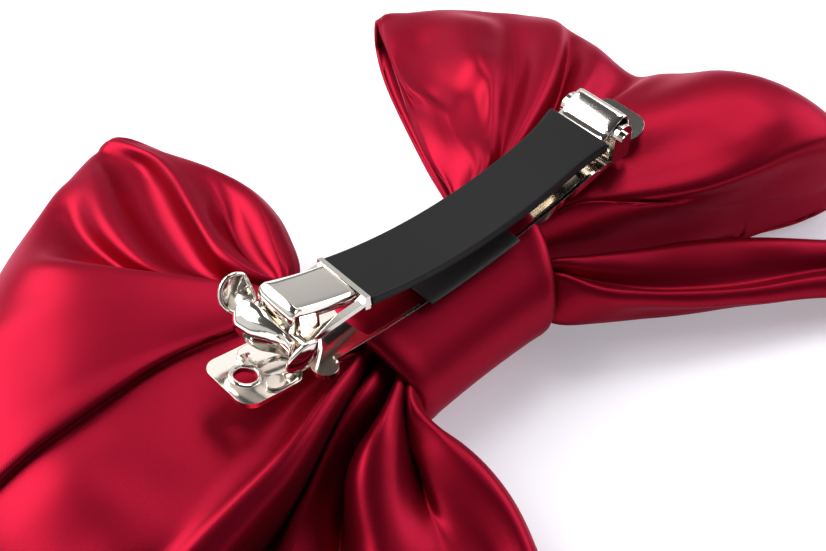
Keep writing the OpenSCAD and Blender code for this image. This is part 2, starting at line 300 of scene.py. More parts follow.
def smooth_line(points, count):
    """count points at even steps along a smooth curve through the given points."""
    p = np.array(points, float)
    p = np.vstack([2 * p[0] - p[1], p, 2 * p[-1] - p[-2]])
    dense = []
    steps = 24
    for i in range(1, len(p) - 2):
        for k in range(steps):
            dense.append(spline_point(p[i - 1], p[i], p[i + 1], p[i + 2], k / steps))
    dense.append(p[-2])
    dense = np.array(dense)
    run = np.concatenate([[0], np.cumsum(np.linalg.norm(np.diff(dense, axis=0), axis=1))])
    at = np.linspace(0, run[-1], count)
    return np.stack([np.interp(at, run, dense[:, k]) for k in range(3)], axis=1)


def loft_grid(ribs, rows, step):
    """Grid of points: rows along every rib, with columns no more than about step apart."""
    lines = np.array([smooth_line(rib, rows) for rib in ribs])
    padded = np.concatenate([2 * lines[:1] - lines[1:2], lines, 2 * lines[-1:] - lines[-2:-1]])
    columns = []
    for i in range(1, len(padded) - 2):
        width = np.linalg.norm(padded[i + 1] - padded[i], axis=1)
        count = max(2, math.ceil(np.percentile(width, 80) / step))
        for k in range(count):
            columns.append(spline_point(*padded[i - 1:i + 3], k / count))
    columns.append(padded[-2])
    return np.array(columns)


def wrinkle(grid, size, depth, seed):
    """Moves a grid of points along its normals by smooth noise, size millimetres across."""
    du = np.gradient(grid, axis=0)
    dv = np.gradient(grid, axis=1)
    normal = np.cross(du, dv)
    normal /= np.maximum(np.linalg.norm(normal, axis=2, keepdims=True), 1e-9)
    out = grid.copy()
    shift = Vector((seed * 17.3, seed * 5.1, seed * 9.7))
    for i in range(grid.shape[0]):
        for j in range(grid.shape[1]):
            out[i, j] += normal[i, j] * depth * noise.noise(Vector(grid[i, j]) / size + shift)
    return out


def grid_object(name, grid, thickness=CLOTH):
    """A cloth piece from a grid of points in millimetres, with true lengths in its UV map."""
    cols, rows = grid.shape[:2]
    grid = grid.copy()
    grid[:, :, 2] = np.maximum(grid[:, :, 2], FLOOR_GAP + thickness / 2)
    verts = (grid.reshape(-1, 3) * MM).tolist()
    faces = [(i * rows + j, (i + 1) * rows + j, (i + 1) * rows + j + 1, i * rows + j + 1)
             for i in range(cols - 1) for j in range(rows - 1)]
    mesh = bpy.data.meshes.new(name)
    mesh.from_pydata(verts, [], faces)
    along = np.zeros((cols, rows))
    along[:, 1:] = np.cumsum(np.linalg.norm(np.diff(grid, axis=1), axis=2), axis=1)
    across = np.zeros((cols, rows))
    across[1:] = np.cumsum(np.linalg.norm(np.diff(grid, axis=0), axis=2), axis=0)
    across = np.repeat(np.median(across, axis=1)[:, None], rows, axis=1)
    layer = mesh.uv_layers.new(name="weave")
    uv = np.stack([across, along], axis=2).reshape(-1, 2) * MM
    order = np.zeros(len(mesh.loops), int)
    mesh.loops.foreach_get("vertex_index", order)
    layer.data.foreach_set("uv", uv[order].astype(np.float32).ravel())
    mesh.polygons.foreach_set("use_smooth", [True] * len(mesh.polygons))
    obj = bpy.data.objects.new(name, mesh)
    bpy.context.scene.collection.objects.link(obj)
    solid = obj.modifiers.new("cloth", "SOLIDIFY")
    solid.thickness = thickness * MM
    solid.offset = 0
    return obj


# ---------------------------------------------------------------- the loops

FOLD_BULGE = 2.2  # how far a loop's outer fold swells past the end of its table row


def loop_rib(top, root, share, mouth_x):
    """Full rib of a loop: the given line over the back, round the outer fold, and back under the
    front to the knot. share runs from 0 on the far side to 1 on the near side."""
    end, before = np.array(top[-1], float), np.array(top[-3], float)
    out = end - before
    out[2] = 0
    out /= np.linalg.norm(out)
    z = end[2]
    under = 1.2 + 0.7 * math.sin(9 * share)
    turn = [end + out * FOLD_BULGE + [0, 0, -0.30 * z],
            end + out * FOLD_BULGE * 0.9 + [0, 0, -0.72 * z]]
    start = end - out * 6
    start[2] = under
    root_under = np.array(root, float)
    mouth = root_under.copy()
    mouth[0] = mouth_x
    half_way = start * 0.5 + mouth * 0.5
    half_way[2] = under
    near_mouth = start * 0.18 + mouth * 0.82
    near_mouth[2] = 0.5 * under + 0.5 * root_under[2]
    return [*[np.array(p, float) for p in top], *turn, start, half_way, near_mouth, root_under]


# Each row of the tables below is one line along the cloth, from the knot outwards: a fold's crest,
# valley or side. Rows run from the far side to the near side.
LEFT_LOOP_TOPS = [
    [(-16, 10, 12), (-18.7, 13, 13), (-13.6, 17.3, 14.2), (-10.9, 22.8, 14.5), (-9.1, 28.7, 14.5),
     (-8.4, 35.8, 14.5), (-10, 43, 14.5), (-12.4, 50, 14.5), (-15, 56.8, 14.5)],
    [(-16, 10, 14), (-19, 13.5, 15.6), (-16.8, 16.8, 17), (-16, 19.8, 17.6), (-14.4, 23.4, 18),
     (-12.3, 28, 18), (-10.6, 34.5, 17.2), (-11.6, 44, 16.2), (-14.4, 53, 15.6),
     (-16.4, 58.9, 15.2)],
    [(-16, 9, 13.5), (-19.6, 14, 14.6), (-18.6, 18.6, 15), (-18.3, 22.3, 14.6), (-17.4, 26.4, 14.2),
     (-15.8, 30.8, 14.4), (-14.2, 34.4, 15.6), (-13, 40, 16.8), (-14, 49, 16.6), (-16.2, 56, 16),
     (-17.2, 59.7, 15.4)],
    [(-16, 9, 16), (-19.8, 13.8, 18), (-20.6, 17, 19), (-21, 22.5, 19.6), (-20.4, 28, 19.6),
     (-18.8, 33.6, 19.1), (-16.6, 40.6, 18.3), (-15.6, 48, 17.5), (-16.9, 56, 16.3),
     (-17.9, 60, 15.4)],
    [(-16, 8, 17), (-20, 13, 19.6), (-22.4, 17.3, 20.2), (-23.6, 22.8, 20.7), (-22.4, 28.6, 20.6),
     (-20.2, 35.4, 19.9), (-17.8, 43, 18.8), (-16.8, 50.4, 17.7), (-17.9, 57, 16.4),
     (-18.9, 60, 15.4)],
    [(-16, 8, 16), (-21, 14.6, 17.6), (-23.6, 20, 16.8), (-24.6, 25, 16.8), (-23.4, 30.6, 16.6),
     (-21.4, 37.6, 16.3), (-19.2, 45, 15.7), (-18, 51.6, 15), (-19.2, 57, 15.6),
     (-19.9, 59.8, 15.2)],
    [(-16, 7.5, 15), (-21.6, 17, 15.8), (-25.4, 23, 16), (-26.4, 28.4, 15.8), (-25.2, 35, 15.5),
     (-23.2, 42.4, 15.2), (-21.4, 49, 15), (-20.4, 54.4, 14.9), (-20.8, 59.3, 15)],
    [(-16, 7, 15.5), (-22.6, 17.8, 16.8), (-27.4, 24.6, 17), (-28.6, 29, 17), (-27.8, 34.6, 16.6),
     (-26.4, 41, 16.3), (-24.2, 48, 16), (-22.6, 54, 15.6), (-22.6, 58.8, 15.2)],
    [(-16, 6.6, 17), (-23.8, 17.6, 18.8), (-29, 22.8, 19.3), (-31, 27.6, 19.6), (-30.8, 33.4, 19.6),
     (-29.4, 40, 19.3), (-27, 48, 18.5), (-25, 54.4, 17), (-24.8, 58, 15.4)],
    [(-16, 6.3, 17), (-24.6, 17.8, 18.8), (-30.4, 24, 19.4), (-32.6, 29, 19.8), (-33, 34.6, 19.8),
     (-32.2, 40.6, 19.6), (-30, 47.4, 18.6), (-27.8, 53.4, 17.2), (-27.4, 57, 15.4)],
    [(-16, 6, 16.5), (-25.5, 18.4, 18.4), (-31.6, 26.6, 17.4), (-33.6, 31, 17.1), (-34.4, 36, 16.8),
     (-34.6, 41.6, 16.6), (-33.8, 47, 16.5), (-32.4, 52, 16.8), (-31.2, 55.6, 15.6)],
    [(-16, 5.5, 17.5), (-26, 18, 19.6), (-34, 26.4, 20.1), (-37.4, 31, 20.1), (-39, 36.4, 19.8),
     (-39.8, 42, 19.3), (-38.8, 47.4, 18.2), (-36.8, 52.4, 15.8)],
    [(-16, 5, 18), (-20.6, 11, 19.6), (-25.2, 16, 20.8), (-30, 21, 21.8), (-35, 26.2, 22.8),
     (-39, 30.8, 23.3), (-43, 35.6, 23.2), (-46, 40.4, 21.2), (-47.4, 46, 16)],
    [(-16, 4.8, 18.4), (-21, 11, 20), (-27.6, 15.6, 21.2), (-34, 20.4, 22.4), (-40, 25.4, 23.2),
     (-46, 30.6, 23), (-51.6, 35.6, 20.6), (-55, 39.6, 16.5)],
    [(-16, 4.4, 18.6), (-22, 10, 20), (-30, 13.6, 21), (-37, 17.2, 21.8), (-44, 21.6, 22.4),
     (-50.6, 26.2, 22.2), (-57.6, 30.6, 20.4), (-63, 33.6, 16.5)],
    [(-16, 4, 18.8), (-22.6, 8.8, 19.9), (-31, 11.6, 20.4), (-39, 13.8, 20.8), (-47, 15.6, 21.2),
     (-55, 17.2, 21.2), (-63, 19.2, 20), (-69.4, 22, 16.5)],
    [(-16, 3.4, 18.8), (-22.6, 7.8, 19.6), (-31, 10.3, 19.9), (-37, 11.9, 20.2), (-43, 12.6, 20.5),
     (-49, 12.4, 20.7), (-56, 12.2, 20.6), (-63, 12.2, 19.9), (-72, 12.4, 16)],
    [(-16, 3.2, 17.6), (-22.8, 8, 18.3), (-31, 10.7, 19.2), (-37, 12.4, 19.3), (-43, 13.1, 19.4),
     (-49, 12.9, 19.5), (-56, 12.7, 19.4), (-63, 12.6, 18.9), (-72.8, 12.8, 14.6)],
    [(-16, 2, 17.4), (-23, 5, 17.4), (-31, 6, 18.1), (-39, 6.6, 18.2), (-47, 6.6, 18.5),
     (-55, 6.2, 18.8), (-63, 5.6, 18.7), (-73.6, 5, 14)],
    [(-16, 0.6, 17.8), (-24, 1.2, 17.6), (-33, 0.8, 17.2), (-42, 0.2, 17.2), (-52, -0.6, 17.6),
     (-62, -1.6, 17.8), (-74, -3, 13.6)],
    [(-16, -1, 17.6), (-24, -2.6, 17.2), (-32, -3.6, 16.8), (-40, -5.2, 16.6), (-48, -6.4, 16.8),
     (-57, -7.2, 17.2), (-65, -8.2, 16.4), (-74, -10, 13)],
    [(-16, -1.8, 17.8), (-20.5, -3, 18.2), (-26, -4.5, 18.4), (-31.6, -5.6, 18.1),
     (-36.6, -7.4, 18), (-41.4, -8.6, 17.8), (-47, -9.2, 17.6), (-54, -9.8, 17.2),
     (-64, -11.2, 15.4), (-73.6, -13, 12.4)],
    [(-16, -2.4, 17.5), (-20, -4, 18.6), (-24, -5.7, 19.4), (-28, -7, 19.9), (-32.6, -8.5, 20),
     (-37, -9.9, 19.9), (-41.5, -10.8, 19.5), (-47, -11.4, 18.8), (-54, -12.2, 17.8),
     (-63, -13.6, 15.8), (-73, -15.6, 12)],
    [(-16, -2.9, 16.4), (-20, -4.8, 17.6), (-24, -6.6, 18.2), (-28, -8, 18.7), (-32, -9.6, 18.8),
     (-36, -11.2, 18.5), (-40, -12.5, 17.9), (-46, -13.4, 17), (-53, -14.4, 15.8), (-62, -16, 13.4),
     (-72, -18, 9.5)],
    [(-16, -3.2, 13), (-20, -5, 14), (-25, -7, 14), (-30, -8.8, 14), (-35, -10.8, 13.6),
     (-40, -12.4, 13), (-46, -13.4, 11.6), (-54, -14.6, 9.8), (-62, -16, 7.6), (-70, -17.6, 5)],
    [(-16, -3.2, 9), (-21, -4.8, 9), (-27, -6.8, 8.6), (-34, -9.4, 8), (-40, -11.4, 7.4),
     (-47, -12.8, 6.2), (-55, -14, 5), (-62, -15.2, 4), (-68, -16.6, 2.6)],
]

RIGHT_LOOP_TOPS = [
    [(12, 10, 12), (14.6, 13.5, 14), (17, 21.6, 14.8), (22.2, 31, 14), (27.4, 39.2, 13),
     (32.4, 47.2, 12), (37, 55, 11), (39.6, 59, 10.5)],
    [(12, 9.5, 12.4), (15.6, 13.6, 14.2), (19, 21, 16.2), (22.6, 27.4, 15.8), (25.6, 33.4, 13.8),
     (28.4, 39.4, 13), (32.4, 46.4, 12.2), (37.4, 54.4, 11.4), (40.8, 58.8, 10.8)],
    [(12, 9, 14), (18, 12.8, 16.4), (21.4, 20, 16.9), (24.6, 25.4, 16.7), (26, 30.6, 16.2),
     (26.6, 36, 15), (29.6, 42.6, 13.6), (34, 50, 12.6), (38.4, 56, 11.6), (41.6, 58.8, 11)],
    [(12, 8.8, 15.6), (18.8, 12.6, 17.2), (22.6, 20.6, 17.1), (25.8, 26, 16.9), (27.4, 31, 15.3),
     (28.6, 36.4, 14.7), (31.6, 42.8, 13.5), (36, 50, 13.4), (40.2, 55.6, 12), (43, 58, 11)],
    [(12, 8.4, 16), (19.6, 12.2, 17.6), (24, 20.4, 17.2), (28, 26.6, 17.2), (30.8, 31.8, 16.3),
     (33.4, 37.4, 15.4), (37, 43.6, 14.2), (41.2, 50, 13.6), (45, 55.4, 11.4)],
    [(12, 8, 16.4), (20.6, 11.6, 18.4), (26, 18.6, 17.4), (31, 24, 17.8), (35.6, 29, 19.9),
     (39.6, 34.6, 19.1), (43.6, 40.8, 17.7), (47, 46.6, 14.8), (49, 51.4, 12)],
    [(12, 7.6, 15.6), (21.4, 11.2, 17.2), (27.6, 17.4, 17.8), (33.2, 22.8, 19.3),
     (38.6, 27.2, 18.9), (43.4, 32.6, 18.1), (47.4, 38.2, 17.1), (50.6, 43.4, 14),
     (52.4, 47.8, 12)],
    [(12, 7.2, 14.8), (22.2, 10.6, 16.2), (29.4, 15.8, 16.6), (35.6, 20.4, 16.6),
     (41.4, 24.8, 16.4), (46.6, 30, 16), (50.6, 35, 15.2), (53.8, 40, 13.8), (55.2, 44.2, 12)],
    [(12, 6.8, 16.4), (22.4, 9.8, 18.6), (30.6, 14.2, 19.4), (37.4, 18.2, 19.6), (43.6, 22, 19.4),
     (49.6, 27, 18.6), (54, 32, 17), (57.4, 37, 14), (58.2, 40, 12.4)],
    [(12, 6.4, 16.8), (22.8, 9.4, 18.9), (31.8, 12.8, 19.9), (39.2, 16, 20), (45.6, 19.6, 19.6),
     (51.8, 24.2, 18.8), (56.6, 28.8, 17), (60, 33.6, 13.6)],
    [(12, 5.9, 15.4), (23.2, 8.8, 16.4), (32.4, 11.2, 16.4), (40.2, 14.6, 16.2), (47, 18.8, 16),
     (53.4, 23.2, 15.6), (58.4, 27.2, 14.6), (60.6, 29.6, 13)],
    [(12, 5.5, 16.5), (23.8, 8.2, 17.8), (34, 9.8, 18.6), (43.4, 12.6, 19), (50.4, 16, 18.4),
     (56, 19.6, 17), (60, 22.6, 13.5)],
    [(12, 5, 15.8), (24.2, 7.2, 16.8), (35, 7.9, 16.8), (44, 8.8, 16.4), (50.6, 9.8, 16),
     (55.6, 10.8, 15.4), (58.8, 12.2, 13.5)],
    [(12, 4.4, 17.5), (24.4, 5.6, 19.4), (35, 5.4, 20.6), (44, 5.4, 21), (51.4, 6, 20),
     (57.6, 7.2, 17.6), (61.8, 8.8, 14)],
    [(12, 3.2, 18.5), (24, 3.2, 20.6), (34, 2.2, 21.8), (43, 2, 22.2), (50.6, 2.6, 21.2),
     (56.6, 3.4, 19.6), (61.6, 4.6, 17.2), (64.8, 5.6, 14)],
    [(12, 1.8, 19.2), (24, 0.8, 20.4), (34, -1.8, 21.6), (43, -3.4, 22.8), (50, -3.6, 23.4),
     (56, -3.2, 23.2), (61, -2, 21.8), (65.6, 0, 17.8), (67.6, 1.2, 14)],
    [(12, 0.6, 19.6), (24, -1.6, 20), (34, -5.8, 20.8), (43, -9, 22), (51, -10.8, 23.4),
     (57.4, -11.2, 24.2), (62.6, -10.2, 23.4), (68, -8.6, 19), (70.8, -7, 15)],
    [(12, -1, 19.8), (23, -3.6, 20), (33, -9, 20.4), (42.4, -13.8, 21.5), (51, -17, 22.8),
     (58, -18.8, 23.4), (64, -18.8, 22.2), (69, -18.2, 18), (71.2, -17.4, 14)],
    [(12, -2.2, 19.4), (21.4, -4.8, 19.8), (28, -9, 19.6), (34, -13.4, 19.8), (39.4, -16.8, 20.2),
     (45, -19.2, 20.6), (53, -21.6, 21), (60, -23.4, 20.6), (66, -24.2, 18.4), (70.4, -23.6, 14)],
    [(12, -2.7, 18.2), (20.8, -4.4, 18.2), (27, -8.4, 17.8), (33, -12.6, 18), (39, -16, 17.8),
     (46, -18.8, 17.2), (54, -21.2, 16.2), (61, -23.4, 14.6), (67, -24.6, 11.6), (69.4, -24.4, 9)],
    [(12, -3.2, 18.6), (17.6, -4.6, 19.6), (22.6, -6.6, 20.6), (27, -9.8, 20.2),
     (31.4, -12.6, 18.8), (36.6, -15, 17), (42, -16.8, 15), (48, -18.6, 13), (55, -21, 10.8),
     (63, -23.4, 8), (66, -24, 7)],
    [(12, -3.8, 17), (18.6, -6, 17.6), (23, -8.2, 17.6), (27.6, -10.6, 16.8), (33, -13, 15.2),
     (39, -15.2, 13.6), (44.6, -17, 12.2), (49, -18.4, 11)],
    [(12, -4.2, 13.5), (19, -6.4, 13.6), (25, -8.8, 13), (32, -11.6, 11.8), (38.6, -14.4, 10.6),
     (44.4, -16.6, 9.6), (48.6, -18, 8.6)],
    [(12, -4.6, 9.5), (19.6, -6.6, 9.2), (26, -9.2, 8.4), (33, -12.2, 7.4), (39.6, -15, 6.4),
     (44.6, -16.8, 5.6), (47.6, -17.8, 5)],
    [(12, -5, 5.5), (20, -6.8, 5), (27, -9.6, 4), (34, -12.4, 3), (40, -14.6, 2.4),
     (44.4, -15.8, 2), (46.6, -16.4, 1.8)],
]


def build_loop(name, tops, side, rows):
    """A loop's cloth from its lines over the back. side is -1 left, 1 right."""
    mouth_x = 18.8 if side < 0 else 14.8
    ribs = []
    for i, top in enumerate(tops):
        share = i / (len(tops) - 1)
        root = (side * (mouth_x - 3.0), 9 - 13 * share, 4 + 1.5 * math.cos(5 * share))
        ribs.append(loop_rib(top, root, share, side * mouth_x))
    grid = loft_grid(ribs, rows, step=1.3)
    grid = wrinkle(grid, size=14, depth=0.35, seed=1 + side)
    return grid_object(name, grid)


# ---------------------------------------------------------------- the tails

LEFT_TAIL = [
    [(-15, -3.4, 10), (-20, -5, 10), (-26, -6.6, 9.4), (-32, -8.2, 8.4), (-38, -9.8, 6.8),
     (-46, -11.4, 4.6), (-58, -14.6, 2.6), (-80, -27, 1.2)],
    [(-15, -4, 13), (-20, -5.6, 14), (-26, -8, 13.4), (-32, -10.2, 12), (-38, -12.4, 9.6),
     (-46, -15, 7), (-58, -21, 5), (-80, -37, 2)],
    [(-15, -4.8, 15.6), (-19.5, -6.7, 16.9), (-24, -8.2, 17.1), (-28.4, -9.6, 16.4),
     (-32.4, -11, 14.9), (-36.4, -12.4, 12.6), (-41.2, -13.8, 10), (-48, -17.6, 7.6),
     (-60, -26.6, 5), (-79.4, -43, 2.4)],
    [(-15, -5.4, 15.4), (-19.4, -7.6, 16), (-23.4, -9.2, 15.8), (-27, -10.2, 14.8),
     (-30.4, -11.2, 13.2), (-34, -12.6, 11), (-38.6, -15, 8.8), (-45, -19.6, 6.6),
     (-57, -29.6, 4.4), (-78.6, -46, 2.2)],
    [(-15, -5.8, 14.6), (-19, -8, 14.8), (-22.4, -9.4, 14.2), (-25.8, -10.4, 13),
     (-28.8, -11.4, 11.6), (-32, -13, 9.8), (-36.4, -15.8, 7.8), (-43, -21.4, 5.8), (-55, -32, 4),
     (-77.6, -49, 2)],
    [(-15, -6.2, 12.5), (-19, -9, 12.4), (-22.6, -10.6, 11.4), (-26, -11.8, 9.8), (-29, -12.6, 8.2),
     (-32.4, -14.4, 6.8), (-36.6, -18, 5.6), (-43, -24.4, 4.6), (-54.6, -35, 3.4), (-76.6, -51, 2)],
    [(-15, -7, 14), (-19, -9.6, 14.6), (-22.6, -11.4, 15.2), (-26.4, -12.8, 15.4),
     (-29.8, -13.8, 14.6), (-32.6, -15.4, 13.2), (-35, -18.4, 11.6), (-38, -23, 9.6),
     (-45, -32, 7.2), (-57, -44, 5), (-74, -56, 2.6)],
    [(-15, -7.6, 15.8), (-18.8, -10, 16.6), (-22.4, -12.4, 17.4), (-26, -14.4, 17.5),
     (-29, -15.8, 16.6), (-31.6, -17.6, 15.2), (-34, -20.6, 13.4), (-36.8, -25.4, 11.2),
     (-43, -34, 8.4), (-54.6, -46, 5.8), (-71.6, -58.4, 3)],
    [(-15, -8, 15.6), (-18.6, -10.6, 16.2), (-21.8, -13.4, 16.4), (-25, -16.4, 16),
     (-27.8, -18.8, 14.8), (-30.2, -21.2, 13.4), (-32.4, -24, 12), (-35.6, -28.6, 10.2),
     (-41.6, -37, 7.8), (-52.6, -48.6, 5.4), (-69.8, -60, 2.8)],
    [(-15, -8.4, 14.6), (-18.2, -10.8, 15), (-21, -13.6, 14.6), (-23.6, -16.6, 13.6),
     (-26, -19.4, 12.4), (-28.2, -22, 11.4), (-30.6, -25.6, 10.4), (-34, -30.8, 9.2),
     (-40, -39.2, 7.2), (-51, -50.8, 5), (-68.2, -61.4, 2.6)],
    [(-15, -8.6, 12.5), (-17.8, -11, 12.4), (-19.8, -13.6, 11.4), (-21.6, -16.6, 10),
     (-23.4, -19.6, 9), (-25.2, -22.8, 8.4), (-27.6, -27, 8.4), (-31.4, -33, 8),
     (-37.6, -41.6, 6.6), (-49, -53, 4.8), (-66.6, -63, 2.4)],
    [(-15, -9, 14), (-17.8, -11, 14.4), (-20, -13.4, 13.8), (-22.4, -16, 12), (-23.4, -18.8, 11.2),
     (-24.4, -22, 10.4), (-25.2, -25.4, 9.6), (-25.8, -29, 8.8), (-27.8, -34.6, 7.8),
     (-34.8, -45, 5.8), (-46, -56.6, 4.8), (-64.6, -65, 2.4)],
    [(-15, -9.4, 15), (-17.5, -11, 15.8), (-19.6, -13.4, 15.9), (-22.2, -16.4, 12.9),
     (-23.1, -19.8, 12.2), (-23.4, -23.4, 11.4), (-23.2, -27, 10.4), (-23.4, -31, 9.2),
     (-25.2, -36.6, 7.4), (-32.2, -47.6, 5), (-43.6, -58.8, 5), (-62.6, -66.6, 2.6)],
    [(-15, -9.8, 14.6), (-17, -11.6, 14.9), (-18.5, -14, 14.6), (-19.2, -17, 14.8),
     (-19.4, -20.6, 14.4), (-19.2, -24.4, 13.6), (-19.2, -28.4, 12.4), (-19.6, -32.6, 11),
     (-21.6, -38, 9.4), (-28.6, -49.4, 7.2), (-41.6, -60.6, 4.6), (-61, -68, 2.4)],
    [(-15, -10, 13), (-16.6, -12, 13.3), (-17.8, -14.8, 12.8), (-17.8, -18, 12.2),
     (-17, -21.6, 11.6), (-16.7, -25, 10.8), (-16.9, -28.6, 9.8), (-17.4, -32, 8.4),
     (-19, -36.6, 6.8), (-25.6, -49, 5), (-39.6, -61.6, 3.8), (-59.6, -69.2, 2)],
    [(-15, -10, 10), (-16.6, -12, 10), (-18, -15, 9.4), (-18.4, -18.4, 8.8), (-18, -22, 8),
     (-17.8, -25.6, 7.2), (-18, -29.4, 6.2), (-18.8, -33, 5), (-21, -38, 4), (-27.6, -50, 2.8),
     (-41, -62, 2), (-60.4, -70, 1.2)],
]

RIGHT_TAIL = [
    [(12, -5, 12), (15.5, -7, 13), (24, -10.8, 11), (34, -15.5, 9), (44, -21, 7), (56, -30, 5),
     (68, -37, 3.5), (83, -42, 2)],
    [(12, -6, 14), (15.4, -8.6, 15), (20.6, -11.4, 14), (28, -15, 12.6), (36, -18.8, 11.6),
     (42, -22.4, 10.8), (50, -29, 9.4), (62, -37.5, 7), (80, -45, 3.5)],
    [(12, -6.5, 14), (15.2, -9.4, 14.8), (20, -13, 13.4), (26.4, -17.2, 11.8), (33.6, -21.6, 10.6),
     (41, -26, 9.8), (50, -32, 8.6), (62, -39.6, 6.4), (79.5, -47, 3.2)],
    [(12, -7, 12.5), (15, -9.6, 12.8), (19.6, -14, 10.8), (24.6, -18.4, 9.2), (30.6, -23.2, 8.2),
     (37, -27.4, 7.6), (44, -31, 7), (52, -35, 6.2), (63, -41.6, 4.8), (79, -48.6, 2.6)],
    [(12, -7.8, 13), (13.9, -10.4, 14.2), (17.4, -15.8, 12.6), (22.4, -20, 11.2), (30, -25.6, 9.8),
     (38, -30.8, 8.8), (47.6, -36.2, 8), (59, -44, 6.4), (76, -54, 3.2)],
    [(12, -8.4, 12), (13, -11, 13), (17, -16.8, 11.2), (22.6, -21.2, 9.6), (30, -26.6, 8),
     (38, -31.8, 6.8), (47, -37.2, 5.6), (57.6, -45.6, 4.2), (73.6, -56.4, 2.4)],
    [(11.5, -9.4, 9.5), (12, -12.2, 10), (17.4, -16.8, 8), (24.6, -20.6, 6.4), (32, -25.2, 5.4),
     (40, -30.6, 4.6), (48.6, -36.4, 3.6), (57, -46, 2.8), (70, -58.6, 1.6)],
    [(11, -9.6, 7), (11.2, -12.4, 7), (17.6, -16, 4.8), (25.6, -20.2, 3.2), (33, -24.6, 2.4),
     (41.4, -29.9, 2), (50.6, -36, 1.4), (57.6, -45.6, 1.2), (69, -58.4, 1)],
]


def build_tail(name, ribs, rows):
    """A tail's cloth from its ribs, which run from the knot to the cut end."""
    grid = loft_grid(ribs, rows, step=1.2)
    grid = wrinkle(grid, size=11, depth=0.3, seed=len(ribs))
    return grid_object(name, grid)


# ---------------------------------------------------------------- the knot band

KNOT_X0, KNOT_X1 = -19.3, 15.4
BAND_HALF_Y = 13.4
BAND_HALF_Z = 10.65
BAND_OVER_PLATE = 1.35
BAND_TURNS, BAND_ROWS = 72, 44


def band_edge(angle, side):
    """Where the band ends along X, at an angle round it: 0 points away from the tails, 90 up."""
    near = max(0.0, -math.cos(angle)) ** 2
    low = max(0.0, -math.sin(angle))
    if side < 0:
        return KNOT_X0 + 2.4 * near + 2 * low
    return KNOT_X1 - 5.0 * near - 2 * low


def band_point(angle, x, inset=0.0):
    """A point on the band's outside, or inset millimetres inside it."""
    y = (BAND_HALF_Y - inset) * math.cos(angle)
    z = BAND_HALF_Z + (BAND_HALF_Z - inset) * math.sin(angle)
    if math.sin(angle) > 0:
        z = min(z, plate_top(x) + BAND_OVER_PLATE)
    return Vector((x, y, max(z, inset + CLOTH)))


def build_band():
    """The satin band round the knot, from rings of points; it starts and ends underneath."""
    ribs = []
    for i in range(BAND_TURNS + 1):
        angle = 2 * math.pi * i / BAND_TURNS - math.pi / 2
        x0, x1 = band_edge(angle, -1), band_edge(angle, 1)
        line = [band_point(angle, x0 + 2.2, 2.0), band_point(angle, x0 + 0.5, 1.2),
                band_point(angle, x0, 0.5)]
        for k in range(9):
            x = x0 + 0.8 + (x1 - x0 - 1.6) * k / 8
            line.append(band_point(angle, x, 0.35 * math.sin(math.pi * k / 8)))
        line += [band_point(angle, x1, 0.5), band_point(angle, x1 - 0.5, 1.2),
                 band_point(angle, x1 - 2.2, 2.0)]
        ribs.append(smooth_line([tuple(p) for p in line], BAND_ROWS))
    return grid_object("satin_band", np.array(ribs))


# ---------------------------------------------------------------- metal pieces

# Radii and centre heights of the curved base plate and arm; the other values are millimetres in
# the part's frame. EARS gives each ear's side, name, middle and lean from upright in degrees.
PLATE_R, PLATE_C = 160, 180
ARM_R, ARM_C, ARM_LOW_X = 80.6, 105.6, 6.7
COVER_R, ARM_UNDER_R = 80, 81.4
SEW_X, SEW_R = 36.3, 1.6
TONGUE_HALF, TONGUE_Y = 3.45, 0.6
EAR_R, EAR_DEPTH = 2.6, 0.6
EAR_PIVOT_X, EAR_PIVOT_Y, EAR_PIVOT_Z = -32.6, 4.3, 25.6
EARS = [(1, "far", (-31.2, 7.6, 30.3), 32), (-1, "near", (-31.4, -7.2, 29.8), 12)]
SHEET_EDGE = 0.12


def plate_top(x):
    """Height of the base plate's upper face."""
    return PLATE_C - math.sqrt(PLATE_R ** 2 - x * x)


def arm_line(x, radius):
    """Height at x of a line along the arm, at the given radius."""
    return ARM_C - math.sqrt(radius ** 2 - (x - ARM_LOW_X) ** 2)


def arm_top(x):
    """Height of the arm's bare metal."""
    return arm_line(x, ARM_R)


def finish_metal(obj, width, body, material, nodes=()):
    """Rounds a metal piece's edges and enters it in the frame."""
    round_edges = obj.modifiers.new("round edges", "BEVEL")
    round_edges.width = width * MM
    round_edges.segments = 2
    round_edges.limit_method = "ANGLE"
    round_edges.angle_limit = SHARP_ANGLE
    obj.modifiers.new("even shading", "WEIGHTED_NORMAL").keep_sharp = True
    obj.data.materials.clear()
    obj.data.materials.append(material)
    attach(obj, body)
    if nodes:
        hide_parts(*nodes)


def rounded_copy(node_name, width, body, material):
    """A copy of a CAD node with its sharp edges rounded, which stands in for the node."""
    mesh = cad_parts[node_name].data.copy()
    mesh.name = "rounded_" + node_name
    bm = bmesh.new()
    bm.from_mesh(mesh)
    bmesh.ops.remove_doubles(bm, verts=bm.verts, dist=2e-6)
    bmesh.ops.dissolve_limit(bm, angle_limit=math.radians(0.6), verts=bm.verts, edges=bm.edges)
    for face in bm.faces:
        face.smooth = True
    bm.to_mesh(mesh)
    bm.free()
    mesh.set_sharp_from_angle(angle=SHARP_ANGLE)
    obj = bpy.data.objects.new("rounded_" + node_name, mesh)
    bpy.context.scene.collection.objects.link(obj)
    finish_metal(obj, width, body, material, [node_name])


def metal_sheet(name, grid, thickness, body, material, nodes=()):
    """A piece of bent sheet metal, or other thin stiff sheet, from its grid of points."""
    obj = grid_object(name, np.array(grid, float), thickness)
    finish_metal(obj, SHEET_EDGE, body, material, nodes)


